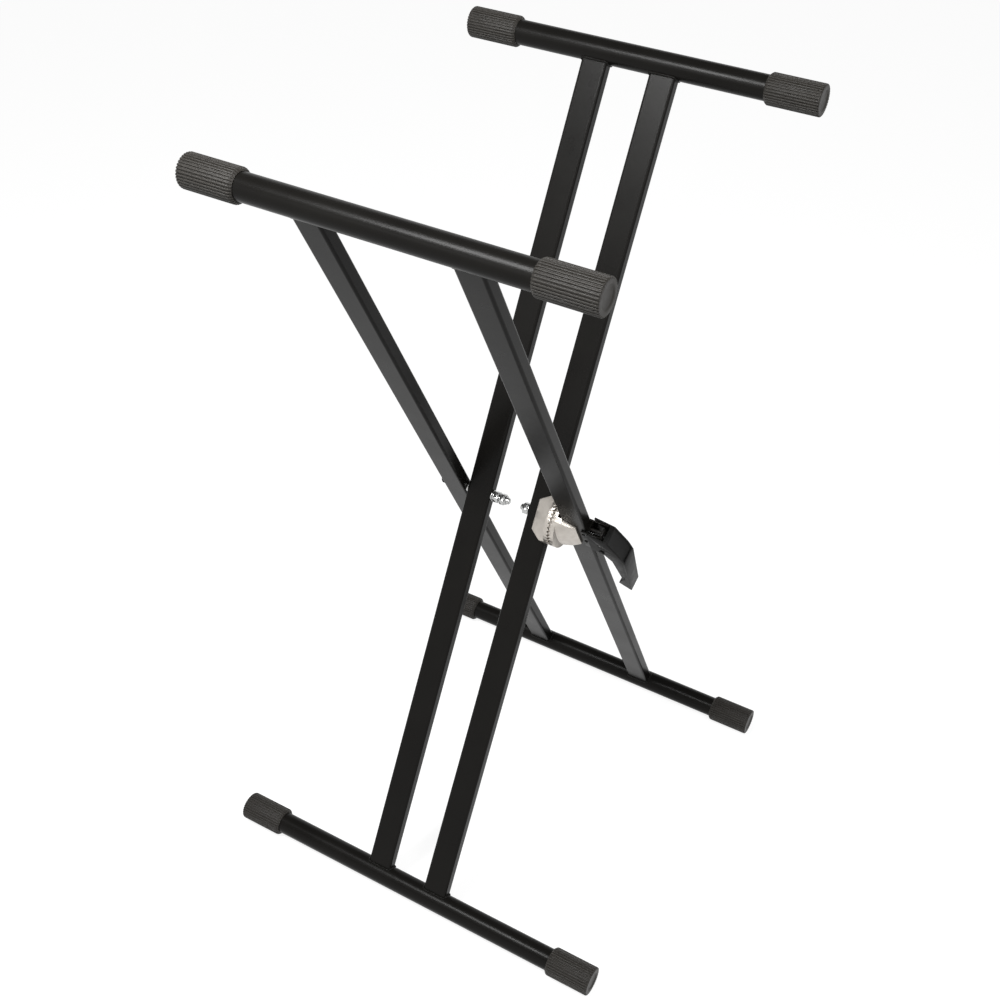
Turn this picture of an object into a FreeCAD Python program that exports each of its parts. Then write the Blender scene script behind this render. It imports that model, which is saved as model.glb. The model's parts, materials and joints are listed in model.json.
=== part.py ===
"""Folding keyboard stand with double-braced X legs and a squeeze-lever tooth clutch.

Each frame is drawn upright about the pivot: X runs along the pivot and the bars, Z runs up the legs,
and -Y is the face towards the player.  A frame's pieces are then leaned about X and lifted to the
pivot's height, the outer frame one way and the inner frame the other.  Sizes are millimetres.
"""

import FreeCAD, Part
import math
import os
import re

import Sketcher

# Driving sizes: name, value, what it measures.
SIZES = (
    ("lean_angle", 28.19, "lean of each frame from upright, degrees"),
    ("leg_reach", 537.0, "pivot to bar axis, up and down"),
    ("tube_diameter", 28.6, "round tube of the bars"),
    ("tube_wall", 1.6, "wall of the round tube"),
    ("top_bar_length", 441.0, "top bar over its caps"),
    ("foot_bar_length", 537.0, "foot bar over its caps"),
    ("leg_width", 32.5, "rectangular leg tube along the pivot"),
    ("leg_thickness", 15.6, "rectangular leg tube in the swing plane"),
    ("leg_corner", 3.2, "outside corner radius of the leg tube"),
    ("leg_wall", 1.6, "wall of the leg tube"),
    ("outer_leg_offset", 86.5, "outer frame's leg centres either side of the middle"),
    ("inner_left_offset", 51.5, "inner frame's left leg centre from the middle"),
    ("inner_right_offset", 34.5, "inner frame's right leg centre from the middle"),
    ("bead_size", 2.6, "leg of the fillet welds"),
    ("top_cap_length", 64.3, "grip cap on a top bar"),
    ("top_cap_diameter", 35.6, "grip cap on a top bar, over its ribs"),
    ("foot_cap_length", 59.6, "rubber foot cap"),
    ("foot_cap_diameter", 37.0, "rubber foot cap, over its ribs"),
    ("cap_end", 4.0, "end wall of a cap"),
    ("cap_fit", 0.1, "radial clearance of a cap on its tube"),
    ("cap_chamfer", 2.6, "chamfer at a cap's open end"),
    ("cap_round", 2.0, "bevel at a cap's closed end"),
    ("cap_recess_radius", 11.0, "dished disc in a cap's end face"),
    ("cap_recess_depth", 1.2, "depth of the dished disc"),
    ("rib_count", 44, "ribs round a cap"),
    ("rib_groove_width", 1.2, "groove between ribs at the surface"),
    ("rib_groove_depth", 0.8, "depth of the groove between ribs"),
    ("bolt_diameter", 8.0, "pivot bolts"),
    ("hole_clearance", 0.05, "radial clearance of a bolt in its hole or bush"),
    ("running_gap", 0.3, "gap between faces that turn past each other"),
    ("nut_flats", 13.0, "across flats of the nuts and bolt heads"),
    ("nut_height", 6.8, "plain nut"),
    ("locknut_height", 8.0, "lock nut with its collar"),
    ("head_height", 3.4, "low head of the right bolt"),
    ("button_diameter", 10.6, "button head of the left bolt"),
    ("button_height", 3.4, "button head of the left bolt"),
    ("washer_diameter", 14.5, "plain washers"),
    ("washer_thickness", 1.6, "plain washers"),
    ("head_washer_thickness", 1.0, "thin washer under the right bolt's head"),
    ("spring_washer_thickness", 2.0, "spring washer under the left nut"),
    ("thread_show", 4.0, "bolt end beyond its last nut"),
    ("locknut_gap", 2.0, "bare thread between the two left nuts"),
    ("head_cap_diameter", 13.4, "domed cap over the left bolt head"),
    ("head_cap_wall", 1.2, "wall of the domed cap"),
    ("bush_diameter", 12.0, "bushes and spacers inside the legs"),
    ("spacer_bevel", 1.5, "bevel of a spacer's ends, clear of the tube's inside corners"),
    ("spring_seat_depth", 6.0, "spring seat in the right bush, below the leg's face"),
    ("spring_seat_diameter", 10.8, "spring seat in the right bush"),
    ("drum_diameter", 64.0, "toothed drum of a clutch half"),
    ("tooth_count", 36, "teeth round a drum"),
    ("tooth_height", 2.2, "teeth of a drum"),
    ("tooth_tip_gap", 0.3, "gap between the tips of the two drums"),
    ("tooth_groove_width", 4.7, "groove between teeth at their tips"),
    ("tooth_root_width", 0.5, "groove between teeth at their roots"),
    ("tooth_ring_width", 3.5, "toothed ring, inwards from the drum's rim"),
    ("drum_step", 2.75, "drum rim to the leg's face on the fixed half"),
    ("saddle_reach", 19.9, "saddle lips along the leg's face"),
    ("saddle_rim_height", 67.0, "saddle at the drum, along the leg"),
    ("sliding_end_height", 42.0, "sliding half's lips at their free end, along the leg"),
    ("fixed_end_height", 38.0, "fixed half's lips at their free end, along the leg"),
    ("saddle_rim_lip", 7.4, "saddle at the drum, proud of the leg at its upper and lower edges"),
    ("saddle_rim_crown", 7.4, "rise of the saddle's crowned face at the drum"),
    ("saddle_end_lip", 2.2, "saddle lip's thickness at its free end"),
    ("saddle_end_crown", 0.4, "rise of the saddle's face at its free end"),
    ("saddle_fit", 0.2, "gap between a saddle and its leg"),
    ("hub_recess", 1.4, "hub face below the tooth roots"),
    ("release_travel", 3.0, "slide of the sliding half when the teeth part"),
    ("rod_diameter", 4.0, "pull rods"),
    ("rod_offset", 10.0, "pull rods above and below the pivot axis"),
    ("rod_hole_clearance", 0.3, "radial clearance of a pull rod in the leg"),
    ("yoke_thickness", 2.5, "yoke plate"),
    ("yoke_height", 26.0, "yoke plate along the leg"),
    ("yoke_width", 12.0, "yoke plate between the lever's cheeks"),
    ("yoke_gap", 11.0, "bolt head to yoke plate"),
    ("guide_diameter", 5.0, "guide pin on the right bolt's head, through the yoke"),
    ("guide_show", 3.2, "guide pin beyond the yoke"),
    ("trunnion_diameter", 4.0, "studs of the yoke that the lever's cheeks hold"),
    ("stud_slot_play", 0.6, "gap above and below a yoke stud in the bracket's slot"),
    ("spring_wire", 1.0, "wire of the clutch spring"),
    ("spring_turns", 5.0, "turns of the clutch spring"),
    ("spring_clearance", 0.2, "radial clearance of the spring on its bolt and in its pocket"),
    ("spring_floor", 1.0, "casting left under the spring"),
    ("bracket_sheet", 1.8, "sheet of the lever bracket"),
    ("bracket_wrap", 6.8, "bracket flanges round the leg's outer edge"),
    ("bracket_fit", 0.3, "gap between the bracket flanges and the leg"),
    ("bracket_height", 39.5, "bracket along the leg"),
    ("bracket_drop", 22.5, "bracket's lower end below the pivot axis"),
    ("bracket_window", 27.0, "opening in the bracket's web, along the leg"),
    ("lever_pin_drop", 17.0, "lever pin below the pivot axis"),
    ("lever_pin_diameter", 4.0, "lever pin"),
    ("lever_pin_head", 7.0, "rivet heads of the lever pin"),
    ("lever_gap", 0.4, "gap between the lever's cheeks and the bracket"),
    ("lever_cheek", 2.4, "thickness of the lever's cheeks"),
    ("lever_slot_play", 0.35, "gap round a yoke stud in the lever's slot"),
    ("lever_tip_width", 19.4, "lever at its hooked end"),
    ("lever_wall", 2.6, "skin of the lever's handle"),
    ("plate_recess", 0.9, "depth of the sunk thumb plate on the lever"),
    ("rivet_diameter", 3.0, "rivets of the bracket"),
    ("rivet_inset", 4.4, "rivets from the leg's outer face"),
    ("rivet_spacing", 18.0, "rivets above and below the pivot axis, apart"),
    ("rivet_head", 5.0, "rivet heads"),
    ("rivet_head_height", 1.1, "rivet heads"),
)

# Sizes worked out from the driving ones.
DERIVED = {
    "pivot_height": "leg_reach * cos(lean_angle * 1deg) + foot_cap_diameter / 2",
    "outer_near_face": "outer_leg_offset - leg_width / 2",
    "outer_far_face": "outer_leg_offset + leg_width / 2",
    "left_far_face": "inner_left_offset + leg_width / 2",
    "left_near_face": "inner_left_offset - leg_width / 2",
    "right_far_face": "inner_right_offset + leg_width / 2",
    "right_near_face": "inner_right_offset - leg_width / 2",
    "bolt_radius": "bolt_diameter / 2",
    "hole_radius": "bolt_diameter / 2 + hole_clearance",
    "clutch_middle": "(inner_right_offset + outer_leg_offset) / 2",
    "fixed_tip": "clutch_middle - tooth_tip_gap / 2",
    "sliding_tip": "clutch_middle + tooth_tip_gap / 2",
    "slide_room": "release_travel + running_gap",
    "head_near": "outer_far_face + running_gap + head_washer_thickness",
    "yoke_near": "head_near + head_height + yoke_gap",
    "yoke_middle": "yoke_near + yoke_thickness / 2",
    "yoke_far": "yoke_near + yoke_thickness",
    "bracket_inside": "leg_thickness / 2 + bracket_fit",
    "bracket_outside": "leg_thickness / 2 + bracket_fit + bracket_sheet",
    "cheek_inside": "bracket_outside + lever_gap",
    "cheek_outside": "cheek_inside + lever_cheek",
    "fork_depth": "yoke_far + slide_room + 1.2",
    "spring_inside": "bolt_radius + spring_clearance",
    "spring_outside": "spring_inside + spring_wire",
    "pocket_radius": "spring_outside + spring_clearance",
    "hub_face": "sliding_tip + tooth_height + hub_recess",
    "spigot_radius": "drum_diameter / 2 - tooth_ring_width",
    "spring_near": "hub_face + spring_floor",
    "spring_far": "outer_near_face + spring_seat_depth",
    "rivet_place": "outer_far_face - rivet_inset",
}

OUTER, INNER = 1, -1  # which way a frame leans about the pivot
PART_FOLDER = "parts"

document = FreeCAD.newDocument("keyboard_stand")
sheet = document.addObject("Spreadsheet::Sheet", "Sizes")
for row, (alias, number, note) in enumerate(SIZES, start=1):
    sheet.set(f"A{row}", alias)
    sheet.set(f"B{row}", str(number))
    sheet.set(f"C{row}", note)
    sheet.setAlias(f"B{row}", alias)
document.recompute()
ALIASES = {alias for alias, _, _ in SIZES}
pieces = []


def expand(text):
    """Turn a formula of size names into an expression that refers to the sheet's cells."""

    def swap(match):
        name = match.group(0)
        if name in DERIVED:
            return "(" + expand(DERIVED[name]) + ")"
        return "Sizes." + name if name in ALIASES else name

    return re.sub(r"[a-z_]{4,}", swap, str(text))


def size(text):
    """The number that a formula of size names gives."""
    return float(sheet.evalExpression(expand(text)))


def place(piece, lean):
    """Lean a finished piece with its frame and lift it to the pivot's height."""
    turn = f"rotation(vector(1; 0; 0); {lean} * lean_angle)"
    piece.setExpression("Placement", expand(f"placement(vector(0; 0; pivot_height); {turn})"))


def finish(piece, label, lean):
    """Name a sub-part, lean it with its frame and keep it for writing."""
    piece.Label = label
    place(piece, lean)
    pieces.append(piece)
    return piece


def new_body(label):
    """An empty body that will become the sub-part of that name."""
    return document.addObject("PartDesign::Body", "Body_" + label)


def plane_of(body, role):
    """One of a body's own origin planes."""
    return next(item for item in body.Origin.OriginFeatures if item.Role == role)


def new_sketch(body, name, role, offset=None):
    """A sketch on one of the body's planes, shifted in that plane or off it by formulas."""
    sketch = body.newObject("Sketcher::SketchObject", name)
    sketch.AttachmentSupport = [(plane_of(body, role), "")]
    sketch.MapMode = "FlatFace"
    for axis, formula in (offset or {}).items():
        sketch.setExpression(f"AttachmentOffset.Base.{axis}", expand(formula))
    return sketch


def pin_point(sketch, line, corner, formulas):
    """Fix one point of a sketch at two formulas."""
    for axis, formula in zip("XY", formulas):
        number = size(formula)
        index = sketch.addConstraint(
            Sketcher.Constraint("Distance" + axis, -1, 1, line, corner, number))
        sketch.setExpression(f"Constraints[{index}]", expand(formula))


def draw_polygon(sketch, corners):
    """A closed outline through corners given as pairs of formulas."""
    points = [FreeCAD.Vector(size(x), size(y), 0) for x, y in corners]
    first = sketch.GeometryCount
    count = len(points)
    for number, point in enumerate(points):
        sketch.addGeometry(Part.LineSegment(point, points[(number + 1) % count]), False)
    for number in range(count):
        following = first + (number + 1) % count
        sketch.addConstraint(Sketcher.Constraint("Coincident", first + number, 2, following, 1))
    for number, corner in enumerate(corners):
        pin_point(sketch, first + number, 1, corner)


def draw_circle(sketch, centre, diameter):
    """A circle whose centre and diameter are formulas."""
    middle = FreeCAD.Vector(size(centre[0]), size(centre[1]), 0)
    circle = sketch.addGeometry(
        Part.Circle(middle, FreeCAD.Vector(0, 0, 1), size(diameter) / 2), False)
    pin_point(sketch, circle, 3, centre)
    index = sketch.addConstraint(Sketcher.Constraint("Diameter", circle, size(diameter)))
    sketch.setExpression(f"Constraints[{index}]", expand(diameter))


def draw_rounded_rectangle(sketch, middle, width, height, radius):
    """A rectangle with round corners, centred at middle on the sketch's X axis."""
    half_x, half_y, corner = size(width) / 2, size(height) / 2, size(radius)
    centre = size(middle)
    first = sketch.GeometryCount
    spans = ((-1, -1, 1, -1), (1, -1, 1, 1), (1, 1, -1, 1), (-1, 1, -1, -1))
    for x0, y0, x1, y1 in spans:
        inset_x = corner if y0 == y1 else 0
        inset_y = corner if x0 == x1 else 0
        start = FreeCAD.Vector(centre + x0 * (half_x - inset_x), y0 * (half_y - inset_y), 0)
        end = FreeCAD.Vector(centre + x1 * (half_x - inset_x), y1 * (half_y - inset_y), 0)
        sketch.addGeometry(Part.LineSegment(start, end), False)
    for number, (x, y) in enumerate(((1, -1), (1, 1), (-1, 1), (-1, -1))):
        hub = FreeCAD.Vector(centre + x * (half_x - corner), y * (half_y - corner), 0)
        circle = Part.Circle(hub, FreeCAD.Vector(0, 0, 1), corner)
        start = math.radians(-90 + 90 * number)
        sketch.addGeometry(Part.ArcOfCircle(circle, start, start + math.pi / 2), False)
    for number in range(4):
        line, arc, following = first + number, first + 4 + number, first + (number + 1) % 4
        sketch.addConstraint(Sketcher.Constraint("Tangent", line, 2, arc, 1))
        sketch.addConstraint(Sketcher.Constraint("Tangent", arc, 2, following, 1))
        if number:
            sketch.addConstraint(Sketcher.Constraint("Equal", first + 4, arc))
    for number, direction in enumerate(("Horizontal", "Vertical", "Horizontal")):
        sketch.addConstraint(Sketcher.Constraint(direction, first + number))
    index = sketch.addConstraint(Sketcher.Constraint("Radius", first + 4, corner))
    sketch.setExpression(f"Constraints[{index}]", expand(radius))
    pin_point(sketch, first + 4, 3, (f"{middle} + {width} / 2 - {radius}",
                                     f"-({height}) / 2 + {radius}"))
    pin_point(sketch, first + 6, 3, (f"{middle} - {width} / 2 + {radius}",
                                     f"({height}) / 2 - {radius}"))


def add_pad(body, sketch, length, middle=False, name="Pad"):
    """Raise a sketch by a formula, from its plane or from both sides of it."""
    pad = body.newObject("PartDesign::Pad", name)
    pad.Profile = sketch
    pad.Midplane = middle
    pad.setExpression("Length", expand(length))
    return pad


def add_pocket(body, sketch, name="Pocket", length=None):
    """Cut a sketch right through the body, or by a formula, from both sides of its plane."""
    pocket = body.newObject("PartDesign::Pocket", name)
    pocket.Profile = sketch
    pocket.Midplane = True
    if length is None:
        pocket.Type = "ThroughAll"
    else:
        pocket.setExpression("Length", expand(length))
    return pocket


def add_revolution(body, sketch, kind="PartDesign::Revolution", name="Revolution"):
    """Turn a sketch, or cut it away, about the sketch's own X axis."""
    turned = body.newObject(kind, name)
    turned.Profile = sketch
    turned.ReferenceAxis = (sketch, ["H_Axis"])
    turned.Angle = 360
    return turned


def add_ring_of(body, feature, sketch, count, name="Ring"):
    """Repeat a feature evenly about the X axis of a sketch."""
    ring = body.newObject("PartDesign::PolarPattern", name)
    ring.Originals = [feature]
    ring.Axis = (sketch, ["H_Axis"])
    ring.Angle = 360
    ring.setExpression("Occurrences", expand(count))
    body.Tip = ring
    return ring


def turned_piece(label, lean, corners):
    """A piece turned about the pivot axis from its outline in length and radius."""
    body = new_body(label)
    sketch = new_sketch(body, "Outline_" + label, "XZ_Plane")
    draw_polygon(sketch, corners)
    add_revolution(body, sketch, name="Turn_" + label)
    return finish(body, label, lean)


def ring_outline(near, far, inner, outer):
    """The outline of a plain ring between two lengths and two radii."""
    return ((near, inner), (far, inner), (far, outer), (near, outer))


# ---------------------------------------------------------------- bars and caps


def bar_tube(label, lean, side, length):
    """Round tube across the legs, stopping against the end walls of its caps."""
    body = new_body(label)
    sketch = new_sketch(body, "Section_" + label, "YZ_Plane")
    centre = ("0", f"{side} * leg_reach")
    draw_circle(sketch, centre, "tube_diameter")
    draw_circle(sketch, centre, "tube_diameter - 2 * tube_wall")
    add_pad(body, sketch, f"{length} - 2 * cap_end", middle=True, name="Tube_" + label)
    return finish(body, label, lean)


def grip_cap(label, lean, side, hand, bar_length, cap_length, diameter):
    """Ribbed cap sleeved over a bar's end: dished end face, bevelled rim and chamfered mouth."""
    body = new_body(label)
    profile = new_sketch(body, "Profile_" + label, "XZ_Plane", {"y": f"{side} * leg_reach"})
    rim, bore = f"{diameter} / 2", "tube_diameter / 2 + cap_fit"
    outline = (
        ("cap_recess_depth", "0"),
        ("cap_end", "0"),
        ("cap_end", bore),
        (cap_length, bore),
        (cap_length, f"{rim} - cap_chamfer"),
        (f"{cap_length} - cap_chamfer", rim),
        ("cap_round", rim),
        ("0", f"{rim} - cap_round"),
        ("0", "cap_recess_radius + cap_recess_depth"),
        ("cap_recess_depth", "cap_recess_radius"),
    )
    draw_polygon(profile, [(f"{hand} * ({bar_length} / 2 - ({x}))", r) for x, r in outline])
    add_revolution(body, profile, name="Shell_" + label)
    groove = new_sketch(body, "Groove_" + label, "YZ_Plane", {"y": f"{side} * leg_reach"})
    draw_polygon(groove, (
        ("-rib_groove_width / 2", rim + " + rib_groove_depth"),
        ("-rib_groove_width / 2", rim),
        ("0", rim + " - rib_groove_depth"),
        ("rib_groove_width / 2", rim),
        ("rib_groove_width / 2", rim + " + rib_groove_depth"),
    ))
    cut = add_pocket(body, groove, name="RibGroove_" + label)
    add_ring_of(body, cut, profile, "rib_count", name="Ribs_" + label)
    return finish(body, label, lean)


# ---------------------------------------------------------------- legs and welds


def leg_tube(label, lean, middle, holes, rivet_holes=()):
    """Rectangular leg tube, coped at both ends to sit on the bars, with its drilled holes."""
    body = new_body(label)
    section = new_sketch(body, "Section_" + label, "XY_Plane")
    draw_rounded_rectangle(section, middle, "leg_width", "leg_thickness", "leg_corner")
    draw_rounded_rectangle(section, middle, "(leg_width - 2 * leg_wall)",
                           "(leg_thickness - 2 * leg_wall)", "(leg_corner - leg_wall)")
    add_pad(body, section, "2 * leg_reach", middle=True, name="Tube_" + label)
    copes = new_sketch(body, "Copes_" + label, "YZ_Plane")
    for side in (1, -1):
        draw_circle(copes, ("0", f"{side} * leg_reach"), "tube_diameter")
    add_pocket(body, copes, name="Cope_" + label)
    drilling = new_sketch(body, "Holes_" + label, "YZ_Plane")
    for height, diameter in holes:
        draw_circle(drilling, ("0", height), diameter)
    add_pocket(body, drilling, name="Drill_" + label)
    if rivet_holes:
        riveting = new_sketch(body, "RivetHoles_" + label, "XZ_Plane")
        for centre in rivet_holes:
            draw_circle(riveting, centre, "rivet_diameter")
        add_pocket(body, riveting, name="RivetDrill_" + label)
    return finish(body, label, lean)


def weld_beads(label, lean, middles):
    """Fillet welds round the leg ends, each following the saddle of its joint."""
    reach, bead = size("leg_reach"), size("bead_size")
    width, thickness, corner = size("leg_width"), size("leg_thickness"), size("leg_corner")
    tube = size("tube_diameter") / 2

    def upright(grow, middle, low, high):
        """The leg's outline, grown all round, as a prism between two heights."""
        across, deep, radius = width + 2 * grow, thickness + 2 * grow, corner + grow
        block = Part.makeBox(across, deep, high - low,
                             FreeCAD.Vector(middle - across / 2, -deep / 2, low))
        uprights = [edge for edge in block.Edges
                    if abs(edge.Vertexes[0].Point.z - edge.Vertexes[-1].Point.z) > 1]
        return block.makeFillet(radius, uprights)

    beads = []
    for middle in middles:
        for side in (1, -1):
            low, high = sorted((side * reach, side * (reach - tube - 3 * bead)))
            start = FreeCAD.Vector(middle - width, 0, side * reach)
            along = FreeCAD.Vector(1, 0, 0)
            inside = Part.makeCylinder(tube, 2 * width, start, along)
            outside = Part.makeCylinder(tube + bead, 2 * width, start, along)
            collar = upright(bead, middle, low, high).common(outside)
            beads.append(collar.cut(inside).cut(upright(0, middle, low - 1, high + 1)))
    feature = document.addObject("Part::Feature", "Beads_" + label)
    feature.Shape = Part.makeCompound([solid for bead_part in beads for solid in bead_part.Solids])
    return finish(feature, label, lean)


# ---------------------------------------------------------------- nuts and bolts


def hexagon(sketch, across_flats):
    """A hexagon about the pivot axis, as formulas of its corners."""
    radius = f"{across_flats} / 2 / cos(30 * 1deg)"
    draw_polygon(sketch, [(f"{radius} * cos({angle} * 1deg)", f"{radius} * sin({angle} * 1deg)")
                          for angle in range(0, 360, 60)])


def bevel_hexagon(body, label, near, far, ends):
    """Turn the sharp corners off one or both ends of a hexagonal nut or head."""
    corner, flat = "nut_flats / 2 / cos(30 * 1deg)", "nut_flats / 2"
    drop = f"({corner} - {flat}) * 0.577"
    for number, end in enumerate(ends):
        edge, inward = (near, "+") if end == "near" else (far, "-")
        cutter = new_sketch(body, f"Bevel{number}_{label}", "XZ_Plane")
        draw_polygon(cutter, (
            (edge, f"{flat} - 0.3"),
            (f"{edge} {inward} {drop}", f"{corner} + 0.2"),
            (edge, f"{corner} + 0.2"),
        ))
        add_revolution(body, cutter, "PartDesign::Groove", f"BevelCut{number}_{label}")


def hex_nut(label, lean, near, far, ends=("near", "far"), collar=None):
    """Hexagonal nut on a pivot bolt, with a round collar at its far end if it locks."""
    body = new_body(label)
    prism = new_sketch(body, "Hexagon_" + label, "YZ_Plane", {"z": near})
    hexagon(prism, "nut_flats")
    add_pad(body, prism, f"({far}) - ({near})", name="Prism_" + label)
    if collar:
        ring = new_sketch(body, "Collar_" + label, "XZ_Plane")
        draw_polygon(ring, ring_outline(far, collar, "bolt_radius", "nut_flats / 2 - 0.7"))
        add_revolution(body, ring, name="CollarRing_" + label)
    bevel_hexagon(body, label, near, far, ends)
    bore = new_sketch(body, "Bore_" + label, "YZ_Plane")
    draw_circle(bore, ("0", "0"), "bolt_diameter")
    add_pocket(body, bore, name="BoreCut_" + label)
    return finish(body, label, lean)


def hex_bolt(label, lean, head_near, head_far, shank_end, guide_end):
    """Pivot bolt: hexagonal head between two lengths, bevelled shank, and a guide pin outwards."""
    body = new_body(label)
    shank = new_sketch(body, "Shank_" + label, "XZ_Plane")
    draw_polygon(shank, (
        (shank_end, "0"),
        (shank_end, "bolt_radius - 0.8"),
        (f"{shank_end} + 0.8", "bolt_radius"),
        (head_near, "bolt_radius"),
        (head_near, "guide_diameter / 2"),
        (f"{guide_end} - 0.6", "guide_diameter / 2"),
        (guide_end, "guide_diameter / 2 - 0.6"),
        (guide_end, "0"),
    ))
    add_revolution(body, shank, name="ShankTurn_" + label)
    prism = new_sketch(body, "Hexagon_" + label, "YZ_Plane", {"z": head_near})
    hexagon(prism, "nut_flats")
    add_pad(body, prism, f"({head_far}) - ({head_near})", name="Head_" + label)
    bevel_hexagon(body, label, head_near, head_far, ("far",))
    return finish(body, label, lean)


def build_left_pivot():
    """The left pivot: bolt, domed cap, washers and the two nuts on the inner side."""
    face = "-outer_far_face - running_gap"
    head = f"{face} - button_height"
    last_nut = "-left_near_face + washer_thickness + spring_washer_thickness + nut_height"
    lock_near = f"{last_nut} + locknut_gap"
    end = f"{lock_near} + locknut_height + thread_show"
    turned_piece("pivot_bolt_left", INNER, (
        (head, "0"),
        (head, "button_diameter / 2 - 2"),
        (f"{face} - button_height / 2", "button_diameter / 2"),
        (face, "button_diameter / 2"),
        (face, "bolt_radius"),
        (f"{end} - 0.8", "bolt_radius"),
        (end, "bolt_radius - 0.8"),
        (end, "0"),
    ))
    dome = f"{head} - head_cap_wall"
    turned_piece("pivot_bolt_cap", INNER, (
        (dome, "0"),
        (dome, "head_cap_diameter / 2 - 3.2"),
        (f"{dome} + 0.9", "head_cap_diameter / 2 - 1.2"),
        (f"{dome} + 2.4", "head_cap_diameter / 2"),
        (face, "head_cap_diameter / 2"),
        (face, "button_diameter / 2"),
        (head, "button_diameter / 2"),
        (head, "0"),
    ))
    gap_washer = ring_outline("-outer_near_face + running_gap", "-left_far_face",
                              "bolt_radius", "nut_flats / 2")
    turned_piece("gap_washer_left", INNER, gap_washer)
    turned_piece("nut_washer_left", INNER, ring_outline(
        "-left_near_face", "-left_near_face + washer_thickness",
        "bolt_radius", "washer_diameter / 2"))
    turned_piece("spring_washer_left", INNER, ring_outline(
        "-left_near_face + washer_thickness",
        "-left_near_face + washer_thickness + spring_washer_thickness",
        "bolt_radius", "nut_flats / 2"))
    hex_nut("pivot_nut_left", INNER, f"{last_nut} - nut_height", last_nut)
    hex_nut("pivot_locknut_left", INNER, lock_near, f"{lock_near} + locknut_height - 2",
            ends=("near", "far"), collar=f"{lock_near} + locknut_height")


def build_right_pivot():
    """The right pivot: bolt through the clutch, its head washer, and the nut and washer inside."""
    nut_far = "right_near_face - washer_thickness"
    hex_bolt("pivot_bolt_right", INNER, "head_near", "head_near + head_height",
             f"{nut_far} - nut_height - thread_show", "yoke_far + guide_show")
    turned_piece("head_washer_right", INNER, ring_outline(
        "outer_far_face + running_gap", "head_near", "bolt_radius", "nut_flats / 2"))
    turned_piece("nut_washer_right", INNER, ring_outline(
        nut_far, "right_near_face", "bolt_radius", "washer_diameter / 2"))
    hex_nut("pivot_nut_right", INNER, f"{nut_far} - nut_height", nut_far)


def build_bushes():
    """Spacer tubes inside the inner legs, and the bushes that the outer legs turn on."""
    for label, near, far in (
        ("spacer_left", "-left_far_face + leg_wall", "-left_near_face - leg_wall"),
        ("spacer_right", "right_near_face + leg_wall", "right_far_face - leg_wall"),
    ):
        turned_piece(label, INNER, (
            (near, "hole_radius"),
            (far, "hole_radius"),
            (far, "bush_diameter / 2 - spacer_bevel"),
            (f"{far} - spacer_bevel", "bush_diameter / 2"),
            (f"{near} + spacer_bevel", "bush_diameter / 2"),
            (near, "bush_diameter / 2 - spacer_bevel"),
        ))
    turned_piece("bush_left", OUTER, ring_outline(
        "-outer_far_face", "-outer_near_face", "hole_radius", "bush_diameter / 2"))
    turned_piece("bush_right", OUTER, (
        ("outer_near_face", "spring_seat_diameter / 2"),
        ("spring_far", "spring_seat_diameter / 2"),
        ("spring_far", "hole_radius"),
        ("outer_far_face", "hole_radius"),
        ("outer_far_face", "bush_diameter / 2"),
        ("outer_near_face", "bush_diameter / 2"),
    ))


# ---------------------------------------------------------------- clutch


def draw_beyond_crown(sketch, side, foot, rise):
    """What lies beyond a crowned face: an arc that stands foot off the middle and swells by rise."""
    half, top = "drum_diameter / 2 + 1", "drum_diameter"
    start = (f"{side} * ({foot})", f"-{side} * ({half})")
    end = (f"{side} * ({foot})", f"{side} * ({half})")
    corners = (end, (f"{side} * {top}", end[1]), (f"{side} * {top}", start[1]), start)
    peak = (f"{side} * ({foot} + {rise})", "0")
    points = [FreeCAD.Vector(size(x), size(y), 0) for x, y in corners]
    crown = FreeCAD.Vector(size(peak[0]), 0, 0)
    arc = sketch.addGeometry(Part.Arc(points[3], crown, points[0]), False)
    for number in range(3):
        sketch.addGeometry(Part.LineSegment(points[number], points[number + 1]), False)
    for number in range(3):
        sketch.addConstraint(Sketcher.Constraint(
            "Coincident", arc + number, 2, arc + number + 1, 1))
    sketch.addConstraint(Sketcher.Constraint("Coincident", arc + 3, 2, arc, 1))
    pin_point(sketch, arc, 1, start)
    pin_point(sketch, arc, 2, end)
    pin_point(sketch, arc + 1, 2, corners[1])
    pin_point(sketch, arc + 2, 2, corners[2])
    radius = f"(({half}) ^ 2 + ({rise}) ^ 2) / (2 * ({rise}))"
    index = sketch.addConstraint(Sketcher.Constraint("Radius", arc, size(radius)))
    sketch.setExpression(f"Constraints[{index}]", expand(radius))


def cut_crowned_faces(body, label, rim, end):
    """Cut the saddle's front and back, crowned at the drum and almost flat at the lips' ends."""
    for side in (1, -1):
        sections = []
        for where, along, lip, rise in (
            ("Rim", rim, "saddle_rim_lip", "saddle_rim_crown"),
            ("End", end, "saddle_end_lip", "saddle_end_crown"),
        ):
            name = f"Crown{where}{side + 1}_{label}"
            section = new_sketch(body, name, "YZ_Plane", {"z": along})
            draw_beyond_crown(section, side, f"leg_thickness / 2 + {lip}", rise)
            sections.append(section)
        loft = body.newObject("PartDesign::SubtractiveLoft", f"CrownCut{side + 1}_{label}")
        loft.Profile = sections[0]
        loft.Sections = sections[1:]
        loft.Ruled = True


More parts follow.
